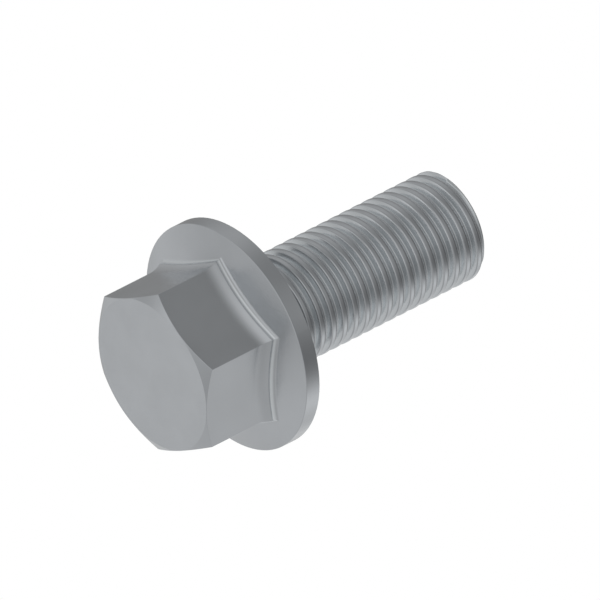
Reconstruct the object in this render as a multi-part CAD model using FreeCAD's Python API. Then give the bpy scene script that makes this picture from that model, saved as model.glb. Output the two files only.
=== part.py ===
"""A flange bolt, made in one piece: hex head, conical flange and a shank threaded up to the head.

It stands on its head: the outer face of the head is z = 0, and the thread points up.
The axis is the Z axis, and one corner of the hex lies on +X. Lengths are in millimetres.
"""
import FreeCAD, Part
import math
import os

from FreeCAD import Vector

# hex head
across_flats = 14.0            # key size, between two opposite flats
head_height = 9.75             # outer face to bearing face
corner_chamfer_angle = 30.0    # degrees between the chamfer's cone and the outer face

# flange
flange_diameter = 20.8
rim_thickness = 1.45           # height of the straight band round the edge
flange_slope = 20.5            # degrees between the flange's cone and the bearing face

# foot of the hex, where the flats run out on the flange
foot_fillet_radius = 2.4       # hollow that leaves each flat
foot_step = 0.3                # how far the hollow runs out before it breaks off

# shank
length_under_head = 23.55      # bearing face to tip
neck_rise = 0.06               # how far the plain neck stands above the bottom of the groove
neck_chamfer = 0.4             # cone in the corner between the bearing face and the neck
neck_length = 2.16             # bearing face to the start of the run-out
runout_length = 1.14           # over which the crests rise to their full height

# thread, right-handed, with a V groove between broad crests
thread_diameter = 10.0         # over the crests
thread_pitch = 1.25
thread_angle = 60.0            # degrees between the groove's two flanks
groove_depth = 0.46            # crest to bottom of the groove
tip_chamfer_angle = 30.0       # degrees between the chamfer's cone and the end face
tip_chamfer_margin = 0.15      # how far the chamfer reaches below the bottom of the groove

# how far trimming solids reach past the surfaces that they make
clear = 1.0

# places that follow from the sizes above
corner_radius = across_flats / 2 / math.cos(math.radians(30))
flange_radius = flange_diameter / 2
rim_start = head_height - rim_thickness
total_length = head_height + length_under_head
thread_radius = thread_diameter / 2
root_radius = thread_radius - groove_depth
neck_radius = root_radius + neck_rise
flank_width = groove_depth * math.tan(math.radians(thread_angle / 2))
crest_width = thread_pitch - 2 * flank_width
thread_start = head_height + neck_length
thread_full = thread_start + runout_length


def rise(run, degrees):
    """Height gained over a run at a slope in degrees."""
    return run * math.tan(math.radians(degrees))


def cone_height(radius):
    """Height of the flange's conical front at a radius."""
    return rim_start - rise(flange_radius - radius, flange_slope)


def turned(profile):
    """Solid turned round the axis from (radius, height) corners in order.

    The profile lies over the middle of a flat, so that its seam meets no corner of the hex.
    """
    across = Vector(math.cos(math.radians(30)), math.sin(math.radians(30)), 0)
    corners = [across * radius + Vector(0, 0, height) for radius, height in profile]
    outline = Part.makePolygon(corners + corners[:1])
    return Part.Face(outline).revolve(Vector(0, 0, 0), Vector(0, 0, 1), 360)


def hex_bar(flats, height):
    """Hexagonal bar standing on z = 0, with a corner on +X."""
    radius = flats / 2 / math.cos(math.radians(30))
    angles = [math.radians(60 * side) for side in range(7)]
    corners = [Vector(radius * math.cos(angle), radius * math.sin(angle), 0) for angle in angles]
    return Part.Face(Part.makePolygon(corners)).extrude(Vector(0, 0, height))


def flange_disc(radius):
    """Disc with the flange's conical front and flat bearing face, out to any radius."""
    profile = [(0, cone_height(0)), (radius, cone_height(radius)), (radius, head_height), (0, head_height)]
    return turned(profile)


def on_foot(point, flats):
    """Whether a point lies both on the flange's cone and on a flat of a hexagonal bar."""
    radius = math.hypot(point.x, point.y)
    angle = math.atan2(point.y, point.x)
    off_flat_middle = angle - math.radians(30 + 60 * math.floor(math.degrees(angle) / 60))
    reach = radius * math.cos(off_flat_middle)
    return abs(point.z - cone_height(radius)) < 0.001 and abs(reach - flats / 2) < 0.001


def foot_edges(shape, flats):
    """Edges where the flats of a hexagonal bar meet the flange's cone."""
    found = []
    for edge in shape.Edges:
        span = edge.LastParameter - edge.FirstParameter
        samples = [edge.valueAt(edge.FirstParameter + span * share) for share in (0.1, 0.5, 0.9)]
        if all(on_foot(point, flats) for point in samples):
            found.append(edge)
    return found


def hollowed_hex():
    """The hex with a hollow where its flats meet the cone, broken off at the step."""
    reach = corner_radius + 2 * foot_fillet_radius + foot_step
    joined = hex_bar(across_flats, rim_start).fuse(flange_disc(reach))
    hollowed = joined.makeFillet(foot_fillet_radius, foot_edges(joined, across_flats))
    step_flats = across_flats + 2 * foot_step
    return hollowed.common(hex_bar(step_flats, rim_start))


def corner_envelope():
    """Turned form that takes the hex's outer corners off and just touches its flats."""
    face_radius = across_flats / 2
    reach = flange_radius + clear
    shoulder = rise(reach - face_radius, corner_chamfer_angle)
    return turned([(0, 0), (face_radius, 0), (reach, shoulder), (reach, head_height), (0, head_height)])


def head():
    """Hex, hollow, step and flange as one solid."""
    whole = hollowed_hex().fuse(flange_disc(flange_radius))
    return whole.common(corner_envelope())


def neck():
    """Plain neck under the head, which narrows through the run-out to below the groove's bottom."""
    inside = head_height - rim_thickness / 2
    foot = neck_radius + neck_chamfer
    end_radius = root_radius - clear
    slope = runout_length / neck_rise
    end = thread_start + slope * (neck_radius - end_radius)
    profile = [(0, inside), (foot, inside), (foot, head_height), (neck_radius, head_height + neck_chamfer)]
    profile += [(neck_radius, thread_start), (end_radius, end), (0, end)]
    return turned(profile)


def turn_of_helix(radius, height):
    """One right-handed turn at a radius, starting at a height over +X."""
    helix = Part.makeHelix(thread_pitch, thread_pitch, radius)
    helix.translate(Vector(0, 0, height))
    return helix.Edges[0]


def thread_section():
    """Corners of one turn's section as (radius, height): crest, flank down, flank up."""
    return [
        (thread_radius, 0),
        (thread_radius, crest_width),
        (root_radius, crest_width + flank_width),
        (thread_radius, thread_pitch),
    ]


def thread_strips():
    """The crest and two flanks of one turn, each ruled between two helices."""
    helices = [turn_of_helix(radius, height) for radius, height in thread_section()]
    return [Part.makeRuledSurface(lower, upper) for lower, upper in zip(helices, helices[1:])]


def rod_end(height):
    """Faces that close a threaded rod at a height: one down to the axis and one across the turn."""
    axis = Part.makeLine(Vector(0, 0, height), Vector(0, 0, height + thread_pitch))
    spiral = Part.makeRuledSurface(turn_of_helix(thread_radius, height), axis)
    corners = [Vector(radius, 0, height + above) for radius, above in thread_section()]
    corners = [axis.Vertexes[0].Point] + corners + [axis.Vertexes[1].Point]
    return [spiral, Part.Face(Part.makePolygon(corners + corners[:1]))]


def threaded_rod():
    """Threaded rod that reaches past both ends of the shank's thread."""
    begin = thread_start - 2 * thread_pitch
    turns = math.ceil((total_length + thread_pitch - begin) / thread_pitch)
    faces = rod_end(begin) + rod_end(begin + turns * thread_pitch)
    for strip in thread_strips():
        for turn in range(turns):
            faces.append(strip.translated(Vector(0, 0, begin + turn * thread_pitch)))
    skin = Part.makeCompound(faces)
    skin.sewShape(0.0001)
    return Part.Solid(skin.Shells[0])


def thread_envelope():
    """Outer form of the threaded length, from the run-out's cone to the chamfered tip."""
    reach = thread_radius + clear
    tip_radius = root_radius - tip_chamfer_margin
    slope = runout_length / (thread_radius - neck_radius)
    wide_start = thread_start + slope * (reach - neck_radius)
    wide_end = total_length - rise(reach - tip_radius, tip_chamfer_angle)
    profile = [(0, thread_start), (neck_radius, thread_start), (reach, wide_start)]
    profile += [(reach, wide_end), (tip_radius, total_length), (0, total_length)]
    return turned(profile)


def flange_bolt():
    """The whole bolt as one solid."""
    body = head().fuse(neck())
    return body.fuse(threaded_rod().common(thread_envelope()))


os.makedirs("parts", exist_ok=True)
flange_bolt().exportStep("parts/flange_bolt.step")
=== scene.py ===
"""Flange bolt: the dressed model, its floor, light and camera, laid out as a Blender add-on.

The bolt stands on its head. The head's outer face is z = 0, the thread points up, the axis is Z and one
corner of the hex lies on +X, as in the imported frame. Lengths are in metres and angles in radians.
"""
import math

import bmesh
import bpy
import numpy as np
from bpy.props import FloatProperty, FloatVectorProperty, IntProperty, PointerProperty
from bpy.types import Operator, Panel, PropertyGroup
from mathutils import Matrix, Vector


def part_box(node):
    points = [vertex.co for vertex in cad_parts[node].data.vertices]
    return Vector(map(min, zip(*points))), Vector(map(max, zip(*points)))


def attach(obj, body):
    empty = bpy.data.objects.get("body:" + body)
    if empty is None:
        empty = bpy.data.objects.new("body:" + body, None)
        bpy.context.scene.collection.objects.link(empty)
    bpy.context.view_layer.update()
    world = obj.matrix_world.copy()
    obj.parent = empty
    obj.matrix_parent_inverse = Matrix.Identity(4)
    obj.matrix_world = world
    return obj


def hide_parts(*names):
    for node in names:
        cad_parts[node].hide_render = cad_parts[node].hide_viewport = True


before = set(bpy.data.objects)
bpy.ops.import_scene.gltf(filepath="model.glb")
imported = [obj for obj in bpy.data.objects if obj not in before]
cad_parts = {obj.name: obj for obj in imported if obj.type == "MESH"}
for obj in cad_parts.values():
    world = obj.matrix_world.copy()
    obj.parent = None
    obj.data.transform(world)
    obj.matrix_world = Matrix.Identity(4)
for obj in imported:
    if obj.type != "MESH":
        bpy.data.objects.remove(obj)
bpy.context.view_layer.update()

bl_info = {
    "name": "Flange bolt",
    "version": (1, 0, 0),
    "blender": (4, 5, 0),
    "location": "3D View > Sidebar > Flange bolt",
    "description": "Builds a hex flange bolt with a helical thread, its finish, floor, light and camera",
    "category": "Add Mesh",
}

NODE_LOW, NODE_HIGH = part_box("flange_bolt")
BODY = "root"
MM = 0.001
# Share of painted light in each point, which lightens the shade in the thread's grooves and at the foot's
# step.
PAINTED_LIGHT_SHARE = "painted_light_share"
SIXTH = math.pi / 3
TWELFTH = math.pi / 6

HOLD = 0.03 * MM  # how near a row lies to a bend, to keep the shading before it flat
MOST_OF_SIDE = 0.85  # how much of a side an arc may take
PAST_ARC = 1.1  # where the points that hold the shading lie, in lengths of the arc's reach
FACE_INSET = 0.4  # how many edge radii the outer face ends inside the flats
HOLLOW_ROWS = 9
WELD = 0.0002 * MM

# Parts of the depth at which the painted light, which lightens the shade of the grooves and the step,
# starts, is full, is full for the last time and ends.
FLANK_FADE = (0.1, 4 / 15, 0.9, 1.0)
STEP_FADE = (0.0, 1 / 3, 0.9, 1.0)
FADE_SHARES = (0.0, 1.0, 1.0, 0.0)

CLOUDS_PER_METRE = 260.0
GRAINS_PER_METRE = 9000.0
CLOUD_BAND = (0.3, 0.7)  # the noise's levels that count as darkest and lightest
FLOOR_WHITENESS = 0.9
FLOOR_SIDE = 1000 * MM


class HeadSizes(PropertyGroup):
    """Sizes of the hex, its foot and the flange."""

    across_flats: FloatProperty(
        name="Across flats", description="Key size of the hex", default=14.0 * MM, unit="LENGTH")
    height: FloatProperty(
        name="Head height", description="Outer face to bearing face", default=9.75 * MM, unit="LENGTH")
    chamfer_angle: FloatProperty(
        name="Corner chamfer", description="Angle between the chamfer's cone and the outer face",
        default=math.radians(30), subtype="ANGLE")
    flange_diameter: FloatProperty(
        name="Flange diameter", description="Across the flange's rim",
        default=NODE_HIGH.y - NODE_LOW.y, unit="LENGTH")
    rim_thickness: FloatProperty(
        name="Rim thickness", description="Height of the straight band round the flange",
        default=1.45 * MM, unit="LENGTH")
    flange_slope: FloatProperty(
        name="Flange slope", description="Angle between the flange's cone and the bearing face",
        default=math.radians(20.5), subtype="ANGLE")
    foot_length: FloatProperty(
        name="Foot hollow", description="Length of the hollow that leaves each flat",
        default=1.35 * MM, unit="LENGTH")
    foot_step: FloatProperty(
        name="Foot step", description="How far the hollow runs out before it breaks off",
        default=0.3 * MM, unit="LENGTH")
    step_height: FloatProperty(
        name="Step height", description="From the hollow's edge up to the flange's cone",
        default=0.47 * MM, unit="LENGTH")
    step_radius: FloatProperty(
        name="Step hollow", description="Radius between the foot's step and the flange's cone",
        default=0.48 * MM, unit="LENGTH")
    edge_radius: FloatProperty(
        name="Edge radius", description="Rounding of the hex's and the step's edges",
        default=0.04 * MM, unit="LENGTH")
    rim_edge_radius: FloatProperty(
        name="Rim edge radius", description="Rounding of the rim's two edges",
        default=0.06 * MM, unit="LENGTH")


class ShankSizes(PropertyGroup):
    """Sizes of the neck, the thread and the tip."""

    neck_diameter: FloatProperty(
        name="Neck diameter", description="Plain neck under the flange", default=9.2 * MM, unit="LENGTH")
    neck_fillet: FloatProperty(
        name="Neck fillet", description="Radius between the bearing face and the neck",
        default=0.4 * MM, unit="LENGTH")
    neck_length: FloatProperty(
        name="Neck length", description="Bearing face to the start of the run-out",
        default=2.16 * MM, unit="LENGTH")
    runout_length: FloatProperty(
        name="Run-out length", description="Over which the crests rise to their full height",
        default=1.14 * MM, unit="LENGTH")
    thread_diameter: FloatProperty(
        name="Thread diameter", description="Over the crests", default=10.0 * MM, unit="LENGTH")
    pitch: FloatProperty(
        name="Pitch", description="Height of one turn of the thread", default=1.25 * MM, unit="LENGTH")
    flank_angle: FloatProperty(
        name="Thread angle", description="Angle between the two flanks of a groove",
        default=math.radians(60), subtype="ANGLE")
    groove_depth: FloatProperty(
        name="Groove depth", description="Crest to the bottom of the groove",
        default=0.455 * MM, unit="LENGTH")
    root_width: FloatProperty(
        name="Root width", description="Width of the groove's bottom before it is rounded",
        default=0.2 * MM, unit="LENGTH")
    groove_start: FloatProperty(
        name="Groove start", description="Height of a groove's middle over +X, above the end of the neck",
        default=0.984 * MM, unit="LENGTH")
    lower_edge_radius: FloatProperty(
        name="Lower crest edge", description="Rounding of a crest's edge towards the head",
        default=0.17 * MM, unit="LENGTH")
    upper_edge_radius: FloatProperty(
        name="Upper crest edge", description="Rounding of a crest's edge towards the tip",
        default=0.34 * MM, unit="LENGTH")
    root_radius: FloatProperty(
        name="Root radius", description="Rounding between a flank and the groove's bottom",
        default=0.1 * MM, unit="LENGTH")
    tip_diameter: FloatProperty(
        name="Tip diameter", description="End face, inside the chamfer", default=8.78 * MM, unit="LENGTH")
    tip_chamfer_angle: FloatProperty(
        name="Tip chamfer", description="Angle between the tip's chamfer and its end face",
        default=math.radians(30), subtype="ANGLE")
    tip_edge_radius: FloatProperty(
        name="Tip edge radius", description="Rounding between the tip's chamfer and its end face",
        default=0.06 * MM, unit="LENGTH")


class SteelFinish(PropertyGroup):
    """Colour and grain of the steel."""

    colour: FloatVectorProperty(
        name="Colour", description="Colour of the satin zinc grey", subtype="COLOR", size=3,
        min=0.0, max=1.0, default=(0.485, 0.505, 0.525))
    # Painted light: a brighter colour on the thread's flanks and the foot's step that lightens the shade
    # there.
    painted_light_colour: FloatVectorProperty(
        name="Painted light colour", description="Painted light of the thread's flanks and the foot's step",
        subtype="COLOR", size=3, min=0.0, max=1.0, default=(0.67, 0.70, 0.72))
    roughness: FloatProperty(
        name="Roughness", description="Mean roughness of the finish", default=0.22, subtype="FACTOR")
    tone_change: FloatProperty(
        name="Tone change", description="How much the clouds lighten and darken the colour",
        default=0.03, subtype="FACTOR")
    gloss_change: FloatProperty(
        name="Gloss change", description="How much the clouds raise and lower the roughness",
        default=0.03, subtype="FACTOR")
    grain_height: FloatProperty(
        name="Grain height", description="Height of the finish's fine grain",
        default=0.0002 * MM, unit="LENGTH", precision=6)


class BoltSettings(PropertyGroup):
    """Everything that a user would change."""

    head: PointerProperty(type=HeadSizes, name="Head", description="Hex and flange")
    shank: PointerProperty(type=ShankSizes, name="Shank", description="Neck, thread and tip")
    finish: PointerProperty(type=SteelFinish, name="Finish", description="Colour and grain")
    columns_per_flat: IntProperty(
        name="Columns per flat", description="Mesh columns over half a flat of the hex", default=9, min=4)


def hex_radius(apothem, edge_radius, off_middle):
    """Distance from the axis to a hexagon with rounded corners.

    off_middle is the angle off the nearest flat's middle. On the flat the distance is
    apothem / cos(off_middle). Near a corner it is the far crossing of the ray with the circle that touches
    both flats there, whose centre is (apothem - edge_radius) / cos 30 out on the corner's line.
    """
    off_corner = TWELFTH - np.abs(off_middle)
    centre = (apothem - edge_radius) / math.cos(TWELFTH)
    under_root = np.maximum(edge_radius**2 - (centre * np.sin(off_corner)) ** 2, 0)
    on_arc = centre * np.cos(off_corner) + np.sqrt(under_root)
    arc_starts = (apothem - edge_radius) * math.tan(TWELFTH)
    reached = apothem * np.tan(np.abs(off_middle))
    return np.where(reached > arc_starts, on_arc, apothem / np.cos(off_middle))


def column_angles(apothem, edge_radius, columns_per_flat):
    """Angles of the mesh columns round the bolt and their angles off the flats' middles.

    Half a flat has even columns up to the corner's arc, one column close before it, and three over it. The
    half is mirrored to a whole flat and repeated six times, with each corner counted once.
    """
    arc_start = math.atan((apothem - edge_radius) * math.tan(TWELFTH) / apothem)
    held = arc_start - 0.5 * (TWELFTH - arc_start)
    even = np.linspace(0, held, columns_per_flat)
    over_arc = np.linspace(arc_start, TWELFTH, 4)
    half = np.concatenate([even, over_arc])
    flat = np.concatenate([-half[:0:-1], half[:-1]])
    off_middle = np.tile(flat, 6)
    turned = np.repeat(np.arange(6) * SIXTH + TWELFTH, flat.size) + off_middle
    return turned, off_middle


def rounded(profile, radii, steps=4):
    """Profile whose corners are true arcs, for every column at once.

    profile is (columns, points, 2) as distance from the axis and height. A corner with a radius becomes a
    rational quadratic curve, which is a circle's arc when its middle weight is the cosine of half the turn.
    The arc starts and ends where it touches the sides, but takes no more than most of the shorter side.
    One more point just before and after it keeps the shading of the sides flat. A corner whose radius is
    zero stays a point.
    """
    made = [profile[:, :1]]
    for place, radius in enumerate(radii, start=1):
        corner = profile[:, place]
        if radius == 0:
            made.append(corner[:, None])
            continue
        before = corner - profile[:, place - 1]
        after = profile[:, place + 1] - corner
        before_length = np.linalg.norm(before, axis=1, keepdims=True)
        after_length = np.linalg.norm(after, axis=1, keepdims=True)
        before = before / before_length
        after = after / after_length
        cosine = np.clip((before * after).sum(1, keepdims=True), -1, 1)
        weight = np.sqrt((1 + cosine) / 2)
        reach = radius * np.sqrt((1 - cosine) / (1 + cosine))
        reach = np.minimum(reach, MOST_OF_SIDE * np.minimum(before_length, after_length))
        start = corner - before * reach
        end = corner + after * reach
        share = np.linspace(0, 1, steps + 1)[None, :, None]
        middle = 2 * share * (1 - share) * weight[:, None]
        curve = (1 - share) ** 2 * start[:, None] + middle * corner[:, None] + share**2 * end[:, None]
        curve = curve / ((1 - share) ** 2 + middle + share**2)
        made.append((corner - before * reach * PAST_ARC)[:, None])
        made.append(curve)
        made.append((corner + after * reach * PAST_ARC)[:, None])
    made.append(profile[:, -1:])
    return np.concatenate(made, axis=1)


def head_profile(sizes, shank, off_middle):
    """Half section of the head for every column, from the outer face's centre to the end of the neck.

    The chamfer is a cone that meets the flat where its radius reaches the hex. The hollow is an arc that
    leaves the flat without a bend: its radius is (length^2 + step^2) / (2 * step), and it ends at an even
    height below the flange's cone, so its edge climbs towards the corners as the cone does.
    """
    apothem = sizes.across_flats / 2
    flange_radius = sizes.flange_diameter / 2
    rim_start = sizes.height - sizes.rim_thickness
    slope = math.tan(sizes.flange_slope)
    hollow = (sizes.foot_length**2 + sizes.foot_step**2) / (2 * sizes.foot_step)
    face_radius = apothem - FACE_INSET * sizes.edge_radius
    zero = np.zeros_like(off_middle)

    def point(radius, height):
        return np.stack([zero + radius, zero + height], axis=1)

    def cone_height(radius):
        return rim_start - (flange_radius - radius) * slope

    hex_wall = hex_radius(apothem, sizes.edge_radius, off_middle)
    chamfer_end = (hex_wall - face_radius) * math.tan(sizes.chamfer_angle)
    points = [point(0, 0), point(face_radius, 0), point(hex_wall, chamfer_end)]
    radii = [sizes.edge_radius, sizes.edge_radius]

    step_wall = hex_radius(apothem + sizes.foot_step, sizes.edge_radius, off_middle)
    hollow_start = cone_height(step_wall) - sizes.step_height - sizes.foot_length
    for angle in np.linspace(0, math.asin(sizes.foot_length / hollow), HOLLOW_ROWS):
        stand_off = hollow * (1 - math.cos(angle))
        wall = hex_radius(apothem + stand_off, sizes.edge_radius, off_middle)
        points.append(point(wall, hollow_start + hollow * math.sin(angle)))
        radii.append(0)
    radii[-1] = sizes.edge_radius

    points.append(point(step_wall, cone_height(step_wall)))
    radii.append(sizes.step_radius)
    points.append(point(flange_radius, rim_start))
    radii.append(sizes.rim_edge_radius)
    points.append(point(flange_radius, sizes.height))
    radii.append(sizes.rim_edge_radius)
    points.append(point(shank.neck_diameter / 2, sizes.height))
    radii.append(shank.neck_fillet)
    for short_of_end in (HOLD, 0):
        points.append(point(shank.neck_diameter / 2, sizes.height + shank.neck_length - short_of_end))
    radii.append(0)
    return rounded(np.stack(points, axis=1), radii)


def groove_section(shank):
    """One pitch of the thread as (radius, height), from a crest's middle to the next crest's middle."""
    crest = shank.thread_diameter / 2
    root = crest - shank.groove_depth
    flank = shank.groove_depth * math.tan(shank.flank_angle / 2)
    half_crest = (shank.pitch - shank.root_width) / 2 - flank
    corners = [
        (crest, 0),
        (crest, half_crest),
        (root, half_crest + flank),
        (root, half_crest + flank + shank.root_width),
        (crest, shank.pitch - half_crest),
        (crest, shank.pitch),
    ]
    radii = [shank.upper_edge_radius, shank.root_radius, shank.root_radius, shank.lower_edge_radius]
    return rounded(np.array([corners]), radii)[0]


def thread_rows(shank, start, end, turned):
    """Radius and height of the thread's surface for rows that climb with the helix.

    A row keeps its place in the section, so its height is the start plus pitch * (turns + angle / 360).
    Heights are held between the neck and the tip. The radius is the section's, but no further out than the
    run-out's cone and the tip's chamfer, and no further in than the run-out's floor.
    """
    section = groove_section(shank)[:-1]
    per_turn = len(section)
    crest_above = shank.groove_start - shank.pitch / 2
    first = start + crest_above - math.ceil(1 + crest_above / shank.pitch) * shank.pitch
    turns = math.ceil((end - first) / shank.pitch) + 1
    climb = np.arange(turns)[:, None] * shank.pitch + section[None, :, 1]
    height = first + climb.reshape(-1, 1) + shank.pitch * turned[None, :] / (2 * math.pi)
    height = np.clip(height, start, end)
    radius = np.tile(section[:, 0], turns)[:, None] + 0 * height

    crest = shank.thread_diameter / 2
    neck = shank.neck_diameter / 2
    root = crest - shank.groove_depth
    along = (height - start) / shank.runout_length
    radius = np.minimum(radius, neck + (crest - neck) * along)
    radius = np.maximum(radius, np.minimum(neck - (neck - root) * along, radius.max()))
    to_end_face = end + shank.tip_edge_radius - height
    chamfer = shank.tip_diameter / 2 + to_end_face / math.tan(shank.tip_chamfer_angle)
    radius = np.minimum(radius, chamfer)
    return radius, height, per_turn


def placed(radius, height, turned):
    """Points (rows, columns, 3) from a radius and a height for each row and column."""
    return np.stack([radius * np.cos(turned), radius * np.sin(turned), height + 0 * radius], axis=2)


def sheet_faces(rows, columns, climb=0):
    """Four corners of every cell of a sheet that closes on itself round the axis.

    The last column joins the first one, climb rows further on. Cells whose partner row is past the sheet's
    end are left out: a helical sheet is flat there.
    """
    row = np.arange(rows - 1 - climb)[:, None]
    column = np.arange(columns)[None, :]
    next_column = (column + 1) % columns
    shift = np.where(column + 1 == columns, climb, 0)
    corners = [
        row * columns + column + 0 * shift,
        (row + shift) * columns + next_column,
        (row + 1 + shift) * columns + next_column,
        (row + 1) * columns + column + 0 * shift,
    ]
    return np.stack(corners, axis=2).reshape(-1, 4)


def mesh_from_sheets(name, sheets):
    """Mesh object of several sheets of points, welded where their points coincide."""
    points = []
    faces = []
    count = 0
    for sheet, climb in sheets:
        points.append(sheet.reshape(-1, 3))
        faces.append(sheet_faces(sheet.shape[0], sheet.shape[1], climb) + count)
        count += sheet.shape[0] * sheet.shape[1]
    points = np.concatenate(points)
    faces = np.concatenate(faces)
    mesh = bpy.data.meshes.new(name)
    mesh.from_pydata(points, [], faces.tolist())
    welded = bmesh.new()
    welded.from_mesh(mesh)
    bmesh.ops.remove_doubles(welded, verts=welded.verts, dist=WELD)
    loose = [vertex for vertex in welded.verts if not vertex.link_faces]
    bmesh.ops.delete(welded, geom=loose, context="VERTS")
    welded.to_mesh(mesh)
    welded.free()
    mesh.polygons.foreach_set("use_smooth", np.ones(len(mesh.polygons), dtype=bool))
    mesh.update()
    piece = bpy.data.objects.new(name, mesh)
    bpy.context.scene.collection.objects.link(piece)
    return piece


def mark_painted_light(piece, head, shank):
    """Stores in each point its share of painted light, from 0 to 1: how far it is on a flank of the thread
    or on the foot's step, whose shade the painted light lightens.

    On the thread, the depth below the crests is taken as a part of the groove's depth, and on the foot
    the height below the flange's cone as a part of the step's height. The share rises in a straight line
    from 0 to 1 between the first two parts of the fade, and falls to 0 between the last two.
    """
    mesh = piece.data
    places = np.empty(len(mesh.vertices) * 3)
    mesh.vertices.foreach_get("co", places)
    places = places.reshape(-1, 3)
    radius = np.hypot(places[:, 0], places[:, 1])
    height = places[:, 2]
    deep = (shank.thread_diameter / 2 - radius) / shank.groove_depth
    flank = np.interp(deep, FLANK_FADE, FADE_SHARES)
    flank = np.where(height > head.height + shank.neck_length, flank, 0)
    below_rim = (head.flange_diameter / 2 - radius) * math.tan(head.flange_slope)
    cone = head.height - head.rim_thickness - below_rim
    step = np.interp((cone - height) / head.step_height, STEP_FADE, FADE_SHARES)
    share = np.maximum(flank, step)
    mesh.attributes.new(PAINTED_LIGHT_SHARE, "FLOAT", "POINT").data.foreach_set("value", share)


def link(tree, source, output, target, value):
    """Joins one node's output to another node's input, both by name or number."""
    tree.links.new(source.outputs[output], target.inputs[value])


def satin_steel(finish):
    """Satin zinc grey: metal with a fine even grain and slow changes of tone and gloss, with painted light
    on the thread's flanks and the foot's step:
    a brighter colour that lightens the dark shade which the steel's own reflections leave there."""
    material = bpy.data.materials.new("satin_zinc_steel")
    material.use_nodes = True
    tree = material.node_tree
    shader = tree.nodes["Principled BSDF"]
    shader.inputs["Metallic"].default_value = 1.0
    place = tree.nodes.new("ShaderNodeTexCoord")

    clouds = tree.nodes.new("ShaderNodeTexNoise")
    clouds.inputs["Scale"].default_value = CLOUDS_PER_METRE
    clouds.inputs["Detail"].default_value = 3.0
    link(tree, place, "Object", clouds, "Vector")
    tone = tree.nodes.new("ShaderNodeValToRGB")
    colour = np.array(finish.colour)
    changes = (1 - finish.tone_change, 1 + finish.tone_change)
    for stop, position, change in zip(tone.color_ramp.elements, CLOUD_BAND, changes):
        stop.position = position
        stop.color = (*(colour * change), 1.0)
    link(tree, clouds, "Fac", tone, "Fac")
    # Painted light: each point's share mixes in the brighter colour, which lightens the shade in the
    # grooves and at the step.
    painted_light_node = tree.nodes.new("ShaderNodeAttribute")
    painted_light_node.attribute_name = PAINTED_LIGHT_SHARE
    mix = tree.nodes.new("ShaderNodeMix")
    mix.data_type = "RGBA"
    mix.inputs["B"].default_value = (*finish.painted_light_colour, 1.0)
    link(tree, painted_light_node, "Fac", mix, "Factor")
    link(tree, tone, "Color", mix, "A")
    link(tree, mix, "Result", shader, "Base Color")

    gloss = tree.nodes.new("ShaderNodeMapRange")
    gloss.inputs["To Min"].default_value = finish.roughness - finish.gloss_change
    gloss.inputs["To Max"].default_value = finish.roughness + finish.gloss_change
    link(tree, clouds, "Fac", gloss, "Value")
    link(tree, gloss, "Result", shader, "Roughness")

    grain = tree.nodes.new("ShaderNodeTexNoise")
    grain.inputs["Scale"].default_value = GRAINS_PER_METRE
    grain.inputs["Detail"].default_value = 2.0
    link(tree, place, "Object", grain, "Vector")
    bump = tree.nodes.new("ShaderNodeBump")
    bump.inputs["Distance"].default_value = finish.grain_height
    link(tree, grain, "Fac", bump, "Height")
    link(tree, bump, "Normal", shader, "Normal")
    return material


def floor_material():
    """Pale floor that shows from above only and lets the studio's light through from below."""
    material = bpy.data.materials.new("pale_floor")
    material.use_nodes = True
    tree = material.node_tree
    tree.nodes.clear()
    output = tree.nodes.new("ShaderNodeOutputMaterial")
    mix = tree.nodes.new("ShaderNodeMixShader")
    clear = tree.nodes.new("ShaderNodeBsdfTransparent")
    pale = tree.nodes.new("ShaderNodeBsdfDiffuse")
    pale.inputs["Color"].default_value = (FLOOR_WHITENESS, FLOOR_WHITENESS, FLOOR_WHITENESS, 1.0)
    ray = tree.nodes.new("ShaderNodeLightPath")
    side = tree.nodes.new("ShaderNodeNewGeometry")
    front = tree.nodes.new("ShaderNodeMath")
    front.operation = "SUBTRACT"
    front.use_clamp = True
    link(tree, ray, "Is Camera Ray", front, 0)
    link(tree, side, "Backfacing", front, 1)
    link(tree, front, "Value", mix, "Fac")
    link(tree, clear, "BSDF", mix, 1)
    link(tree, pale, "BSDF", mix, 2)
    link(tree, mix, "Shader", output, "Surface")
    return material


# White screens of the studio as seen from the bolt: azimuth and elevation in degrees, how tightly each
# is bounded, and how white its middle is. Where they add up to 1 the room is plain white.
WHITE_SCREENS = [
    (5, -52, 9.5, 0.88),
    (135, 19, 8.8, 0.87),
    (-94, -57, 9.4, 0.76),
    (87, 29, 16.1, 0.75),
    (140, -46, 3.6, 0.70),
    (-162, -9, 5.1, 0.56),
    (-103, 20, 3.6, 0.55),
    (-39, -12, 12.8, 0.55),
    (-6, 10, 4.1, 0.51),
    (69, -8, 6.2, 0.51),
    (166, 82, 12.0, 0.34),
]


def math_node(tree, operation, first, second):
    """Output of one sum on two values, of which each is a number or another node's output."""
    node = tree.nodes.new("ShaderNodeMath")
    node.operation = operation
    for place, value in enumerate((first, second)):
        if isinstance(value, (int, float)):
            node.inputs[place].default_value = value
        else:
            tree.links.new(value, node.inputs[place])
    return node.outputs["Value"]


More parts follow.
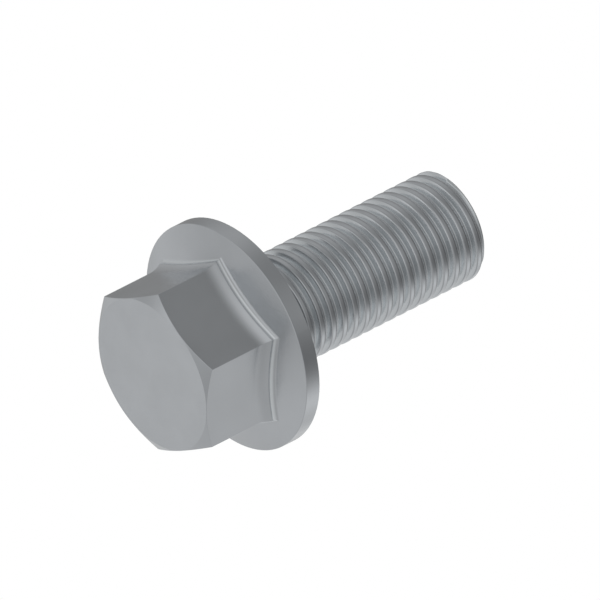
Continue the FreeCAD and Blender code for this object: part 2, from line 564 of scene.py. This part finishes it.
def studio_world():
    """Plain white room at strength 1, which lights the object and is the background.

    What metal or glass would show of it has dim gaps between the white screens, so that polished forms
    stand out. A screen's whiteness is middle * exp(tightness * (cosine of the angle off its middle - 1)),
    and the screens add up. The strength is 1 - (1 - whiteness) * (glossy or transmitted ray).
    """
    world = bpy.data.worlds.new("studio")
    world.use_nodes = True
    tree = world.node_tree
    tree.nodes.clear()
    output = tree.nodes.new("ShaderNodeOutputWorld")
    white = tree.nodes.new("ShaderNodeBackground")
    white.inputs["Color"].default_value = (1.0, 1.0, 1.0, 1.0)
    ray = tree.nodes.new("ShaderNodeLightPath")
    place = tree.nodes.new("ShaderNodeTexCoord")
    whiteness = 0.0
    for azimuth, elevation, tightness, middle in WHITE_SCREENS:
        across, up = math.radians(azimuth), math.radians(elevation)
        cosine = tree.nodes.new("ShaderNodeVectorMath")
        cosine.operation = "DOT_PRODUCT"
        level = math.cos(up)
        cosine.inputs[1].default_value = (level * math.cos(across), level * math.sin(across), math.sin(up))
        link(tree, place, "Generated", cosine, 0)
        short_of_middle = math_node(tree, "SUBTRACT", cosine.outputs["Value"], 1.0)
        fall = math_node(tree, "MULTIPLY", short_of_middle, tightness)
        screen = math_node(tree, "MULTIPLY", math_node(tree, "EXPONENT", fall, 0.0), middle)
        whiteness = math_node(tree, "ADD", screen, whiteness)
    shown = math_node(tree, "MAXIMUM", ray.outputs["Is Glossy Ray"], ray.outputs["Is Transmission Ray"])
    gap = math_node(tree, "MULTIPLY", math_node(tree, "SUBTRACT", 1.0, whiteness), shown)
    tree.links.new(math_node(tree, "SUBTRACT", 1.0, gap), white.inputs["Strength"])
    link(tree, white, "Background", output, "Surface")
    bpy.context.scene.world = world


# Camera, as fitted to the photo: parallel projection from below the head, turned about its line of sight.
CAMERA_AZIMUTH = math.radians(-13.755)
CAMERA_ELEVATION = math.radians(-31.943)
CAMERA_ROLL = math.radians(63.14)
CAMERA_WIDTH = 50.81 * MM
CAMERA_DISTANCE = 300 * MM
ORIGIN_LEFT_OF_MIDDLE = 12.498 * MM
ORIGIN_BELOW_MIDDLE = 6.325 * MM


def photo_camera():
    """Parallel camera that sees the bolt as the photo does."""
    data = bpy.data.cameras.new("photo_camera")
    data.type = "ORTHO"
    data.ortho_scale = CAMERA_WIDTH
    level = math.cos(CAMERA_ELEVATION)
    across = (level * math.cos(CAMERA_AZIMUTH), level * math.sin(CAMERA_AZIMUTH))
    sight = -Vector((*across, math.sin(CAMERA_ELEVATION)))
    level_right = sight.cross(Vector((0, 0, 1))).normalized()
    level_up = level_right.cross(sight)
    right = math.cos(CAMERA_ROLL) * level_right + math.sin(CAMERA_ROLL) * level_up
    up = math.cos(CAMERA_ROLL) * level_up - math.sin(CAMERA_ROLL) * level_right
    turn = Matrix((right, up, -sight)).transposed()
    place = right * ORIGIN_LEFT_OF_MIDDLE + up * ORIGIN_BELOW_MIDDLE - sight * CAMERA_DISTANCE
    camera = bpy.data.objects.new("photo_camera", data)
    camera.matrix_world = Matrix.Translation(place) @ turn.to_4x4()
    bpy.context.scene.collection.objects.link(camera)
    bpy.context.scene.camera = camera


class BOLT_OT_build(Operator):
    """Build the bolt as one closed skin with its satin finish"""

    bl_idname = "flange_bolt.build"
    bl_label = "Build bolt"

    def execute(self, context):
        settings = context.scene.flange_bolt
        head, shank = settings.head, settings.shank
        turned, off_middle = column_angles(
            head.across_flats / 2, head.edge_radius, settings.columns_per_flat)

        half_section = head_profile(head, shank, off_middle)
        head_points = placed(half_section[:, :, 0].T, half_section[:, :, 1].T, turned)

        start = head.height + shank.neck_length
        length = NODE_HIGH.z - NODE_LOW.z
        end = length - shank.tip_edge_radius
        radius, height, per_turn = thread_rows(shank, start, end, turned)
        thread_points = placed(radius, height, turned)

        tip_radius = shank.tip_diameter / 2
        chamfer_radius = tip_radius + shank.tip_edge_radius / math.tan(shank.tip_chamfer_angle)
        corners = [(chamfer_radius, end), (tip_radius, length), (0, length)]
        tip = rounded(np.array([corners]), [shank.tip_edge_radius])[0]
        tip_points = placed(tip[:, :1] + 0 * turned, tip[:, 1:] + 0 * turned, turned)

        sheets = [(head_points, 0), (thread_points, per_turn), (tip_points, 0)]
        bolt = mesh_from_sheets("bolt_skin", sheets)
        # Paints light onto the thread's flanks and the foot's step to lighten their shade.
        mark_painted_light(bolt, head, shank)
        bolt.data.materials.append(satin_steel(settings.finish))
        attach(bolt, BODY)
        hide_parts("flange_bolt")
        return {"FINISHED"}


class BOLT_OT_stage(Operator):
    """Set the pale floor, the studio's light and the camera"""

    bl_idname = "flange_bolt.stage"
    bl_label = "Set stage"

    def execute(self, context):
        half = FLOOR_SIDE / 2
        mesh = bpy.data.meshes.new("floor")
        corners = [(-half, -half, 0), (half, -half, 0), (half, half, 0), (-half, half, 0)]
        mesh.from_pydata(corners, [], [(0, 1, 2, 3)])
        floor = bpy.data.objects.new("floor", mesh)
        floor.data.materials.append(floor_material())
        context.scene.collection.objects.link(floor)
        studio_world()
        photo_camera()
        context.scene.view_settings.view_transform = "Standard"
        return {"FINISHED"}


class BOLT_PT_panel(Panel):
    """Lists the steps that build the bolt and its stage"""

    bl_idname = "BOLT_PT_panel"
    bl_label = "Flange bolt"
    bl_space_type = "VIEW_3D"
    bl_region_type = "UI"
    bl_category = "Flange bolt"

    def draw(self, context):
        self.layout.operator(BOLT_OT_build.bl_idname)
        self.layout.operator(BOLT_OT_stage.bl_idname)
        settings = context.scene.flange_bolt
        for group in (settings.head, settings.shank, settings.finish):
            box = self.layout.box()
            for name in group.__annotations__:
                box.prop(group, name)


CLASSES = (HeadSizes, ShankSizes, SteelFinish, BoltSettings, BOLT_OT_build, BOLT_OT_stage, BOLT_PT_panel)


def register():
    for item in CLASSES:
        bpy.utils.register_class(item)
    bpy.types.Scene.flange_bolt = PointerProperty(type=BoltSettings)


def unregister():
    del bpy.types.Scene.flange_bolt
    for item in reversed(CLASSES):
        bpy.utils.unregister_class(item)


def main():
    register()
    bpy.ops.flange_bolt.build()
    bpy.ops.flange_bolt.stage()


if __name__ == "__main__":
    main()
